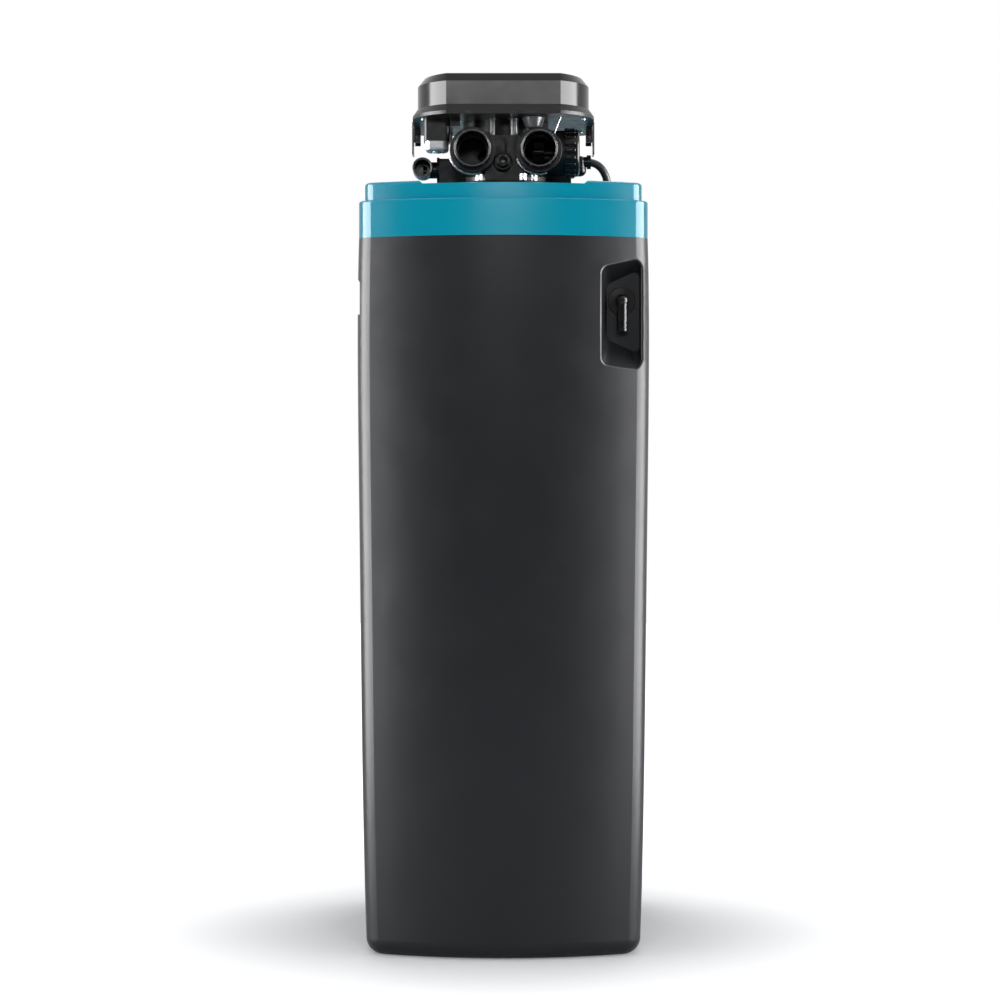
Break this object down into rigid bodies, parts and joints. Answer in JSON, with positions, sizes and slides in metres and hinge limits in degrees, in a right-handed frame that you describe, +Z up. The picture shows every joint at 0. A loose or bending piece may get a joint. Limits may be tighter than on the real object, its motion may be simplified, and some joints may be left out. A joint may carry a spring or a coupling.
{
  "type": "water softener",
  "caption": "Cabinet water softener: brine cabinet with lift-up salt lid, pressure tank inside, geared disc valve with pipe ports, drain and overflow elbows.",
  "frame": {"origin": "on the floor, under the middle of the cabinet's bounding box", "axes": "+Z up; -Y is the connection side with the two pipe ports, which the picture shows; +Y is the user's side with the salt lid and the display; +X is to the right as the picture shows it"},
  "size_m": [0.345, 0.4999, 1.046],
  "materials": {
    "cabinet_shell": "fine-textured moulded polyethylene, dark grey",
    "cover_plastic": "glossy teal moulded plastic",
    "lid_plastic": "glossy teal moulded plastic",
    "steel": "bright drawn stainless wire",
    "tank_wall": "wound glass-fibre over a plastic liner",
    "boot_plastic": "black moulded plastic",
    "white_plastic": "white moulded plastic",
    "pvc_tube": "extruded PVC",
    "resin": "amber ion-exchange beads",
    "valve_plastic": "glass-filled black plastic",
    "seal_rubber": "black EPDM",
    "screw_steel": "bright zinc-plated steel",
    "adapter_plastic": "black moulded plastic, semi-gloss",
    "clip_steel": "spring steel wire",
    "bolt_plastic": "black moulded plastic",
    "nut_plastic": "black moulded plastic with ribs",
    "turbine_plastic": "white acetal",
    "drain_plastic": "black acetal",
    "tube_plastic": "black polyethylene tube",
    "grommet_rubber": "black rubber",
    "well_plastic": "natural white polyethylene",
    "float_plastic": "white foamed plastic",
    "disc_ceramic": "lapped white alumina",
    "shaft_steel": "turned stainless steel",
    "gear_plastic": "white acetal",
    "pinion_brass": "cut brass",
    "motor_can": "zinc-plated steel can",
    "base_plastic": "black ABS, semi-gloss",
    "latch_plastic": "black acetal",
    "pillar_plastic": "black plastic, polished",
    "sensor_plastic": "dark grey plastic",
    "head_plastic": "glossy black ABS",
    "window": "smoked acrylic over a dark display",
    "button_plastic": "grey silicone-soft plastic",
    "board": "green solder mask on glass epoxy",
    "inlet_plastic": "black plastic"
  },
  "bodies": {
    "softener": {"cabinet": "cabinet_shell", "overflow_grommet": "grommet_rubber", "top_cover": "cover_plastic", "lid_hinge_pin": "steel", "pressure_tank": "tank_wall", "tank_boot": "boot_plastic", "lower_distributor": "white_plastic", "riser_tube": "pvc_tube", "resin_bed": "resin", "valve_body": "valve_plastic", "upper_basket": "white_plastic", "tank_seal": "seal_rubber", "flange_screws": "screw_steel", "inlet_adapter": "adapter_plastic", "outlet_adapter": "adapter_plastic", "adapter_clips": "clip_steel", "injector_bolt": "bolt_plastic", "meter_plug": "valve_plastic", "meter_nut": "nut_plastic", "drain_lock_ring": "valve_plastic", "drain_flow_washer": "seal_rubber", "brine_elbow": "drain_plastic", "brine_nut": "drain_plastic", "brine_tube": "tube_plastic", "tube_grommet": "grommet_rubber", "brine_well": "well_plastic", "safety_valve": "white_plastic", "pickup_tube": "pvc_tube", "air_check": "white_plastic", "fixed_disc": "disc_ceramic", "valve_bonnet": "valve_plastic", "shaft_seal": "seal_rubber", "idler_pin": "shaft_steel", "drive_motor": "motor_can", "head_base": "base_plastic", "head_pillars": "pillar_plastic", "flow_sensor": "sensor_plastic", "power_inlet": "inlet_plastic"},
    "lid": {"salt_lid": "lid_plastic"},
    "overflow": {"overflow_elbow": "drain_plastic", "overflow_nut": "drain_plastic"},
    "drain": {"drain_elbow": "drain_plastic"},
    "turbine": {"meter_turbine": "turbine_plastic"},
    "disc_drive": {"main_gear": "gear_plastic", "valve_shaft": "shaft_steel", "moving_disc": "disc_ceramic"},
    "idler": {"idler_gear": "gear_plastic"},
    "pinion": {"motor_pinion": "pinion_brass"},
    "float": {"float_rod": "pvc_tube", "float_cup": "float_plastic"},
    "well_cap": {"brine_well_cap": "well_plastic"},
    "cover": {"head_cover": "head_plastic", "display_window": "window", "circuit_board": "board"},
    "menu_key": {"button_menu": "button_plastic"},
    "regenerate_key": {"button_regenerate": "button_plastic"},
    "up_key": {"button_up": "button_plastic"},
    "down_key": {"button_down": "button_plastic"},
    "left_latch": {"latch_left": "latch_plastic"},
    "right_latch": {"latch_right": "latch_plastic"}
  },
  "joints": [
    {"name": "lid_hinge", "type": "hinge", "parent": "softener", "child": "lid", "pos_m": [0, 0.02, 0.919], "axis": [1, 0, 0], "range_deg": [0, 93]},
    {"name": "overflow_swivel", "type": "hinge", "parent": "softener", "child": "overflow", "pos_m": [0.14, -0.198, 0.773], "axis": [0, 1, 0], "range_deg": [-20, 20]},
    {"name": "drain_swivel", "type": "hinge", "parent": "softener", "child": "drain", "pos_m": [-0.098, -0.098, 0.941], "axis": [-1, 0, 0], "range_deg": [-30, 90]},
    {"name": "turbine_spin", "type": "hinge", "parent": "softener", "child": "turbine", "pos_m": [0.0427, -0.147, 0.9555], "axis": [1, 0, 0], "continuous": true},
    {"name": "disc_turn", "type": "hinge", "parent": "softener", "child": "disc_drive", "pos_m": [0.003, -0.098, 1.005], "axis": [0, 0, 1], "continuous": true},
    {"name": "idler_turn", "type": "hinge", "parent": "softener", "child": "idler", "pos_m": [-0.05259, -0.1292, 1.005], "axis": [0, 0, 1], "continuous": true},
    {"name": "pinion_turn", "type": "hinge", "parent": "softener", "child": "pinion", "pos_m": [-0.07985, -0.14449, 1.005], "axis": [0, 0, 1], "continuous": true},
    {"name": "float_rise", "type": "slide", "parent": "softener", "child": "float", "axis": [0, 0, 1], "range_m": [0, 0.008]},
    {"name": "well_cap_lift", "type": "slide", "parent": "softener", "child": "well_cap", "axis": [0, 0, 1], "range_m": [0, 0.06]},
    {"name": "cover_lift", "type": "slide", "parent": "softener", "child": "cover", "axis": [0, 0, 1], "range_m": [0, 0.06]},
    {"name": "menu_press", "type": "slide", "parent": "cover", "child": "menu_key", "axis": [0, -0.7071, -0.7071], "range_m": [0, 0.001], "stiffness_N_per_m": 300},
    {"name": "regenerate_press", "type": "slide", "parent": "cover", "child": "regenerate_key", "axis": [0, -0.7071, -0.7071], "range_m": [0, 0.001], "stiffness_N_per_m": 300},
    {"name": "up_press", "type": "slide", "parent": "cover", "child": "up_key", "axis": [0, -0.7071, -0.7071], "range_m": [0, 0.001], "stiffness_N_per_m": 300},
    {"name": "down_press", "type": "slide", "parent": "cover", "child": "down_key", "axis": [0, -0.7071, -0.7071], "range_m": [0, 0.001], "stiffness_N_per_m": 300},
    {"name": "left_latch_press", "type": "hinge", "parent": "softener", "child": "left_latch", "pos_m": [-0.106, -0.06, 0.985], "axis": [0, -1, 0], "range_deg": [0, 8], "stiffness_Nm_per_rad": 0.5},
    {"name": "right_latch_press", "type": "hinge", "parent": "softener", "child": "right_latch", "pos_m": [0.106, -0.06, 0.985], "axis": [0, 1, 0], "range_deg": [0, 8], "stiffness_Nm_per_rad": 0.5}
  ],
  "couplings": [
    {"joint": "idler_turn", "follows": "disc_turn", "ratio": -1.6842},
    {"joint": "pinion_turn", "follows": "disc_turn", "ratio": 5.3333}
  ]
}
